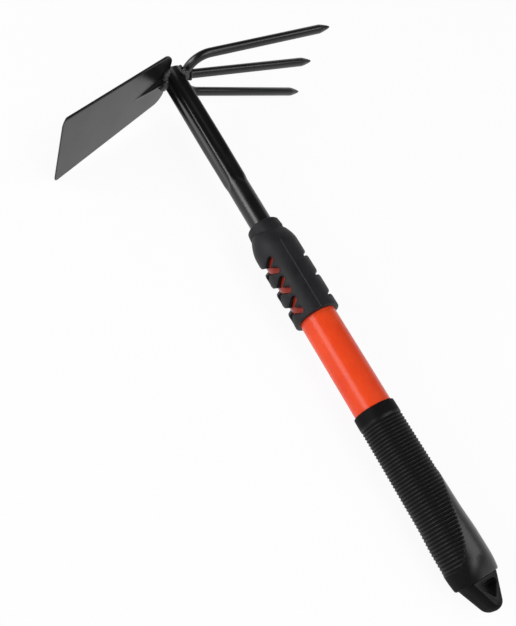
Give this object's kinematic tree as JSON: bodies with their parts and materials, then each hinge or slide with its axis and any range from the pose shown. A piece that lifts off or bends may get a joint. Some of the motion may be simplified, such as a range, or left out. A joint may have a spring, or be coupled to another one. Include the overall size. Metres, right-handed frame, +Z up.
{
  "type": "double hoe",
  "caption": "Hand double hoe: a flat blade on one side and a fork of round tines on the other, on a fluted steel shaft with a moulded soft-grip handle and a hang loop.",
  "frame": {"origin": "On the surface that the tool lies on, under the middle of its overall box.", "axes": "+Y runs along the shaft from the hang loop to the head, +X toward the tines, -X toward the blade, and +Z is up from the surface that the tool rests on."},
  "size_m": [0.2234, 0.3916, 0.0672],
  "materials": {
    "black_paint": "glossy black paint on steel",
    "painted_weld": "rippled weld bead under thin black paint",
    "orange_plastic": "satin orange polypropylene",
    "charcoal_soft_grip": "matt charcoal thermoplastic rubber",
    "black_soft_grip": "matt black ribbed thermoplastic rubber",
    "black_nylon": "fine-grained black moulded plastic"
  },
  "bodies": {
    "root": {"shaft_tube": "black_paint", "hoe_blade": "black_paint", "outer_tine_bow": "black_paint", "middle_tine": "black_paint", "blade_weld_under": "painted_weld", "blade_weld_over": "painted_weld", "bow_weld_under": "painted_weld", "bow_weld_over": "painted_weld", "middle_tine_weld": "painted_weld", "handle_core": "orange_plastic", "front_collar": "charcoal_soft_grip", "rear_grip": "black_soft_grip", "end_loop": "black_nylon"}
  },
  "joints": []
}
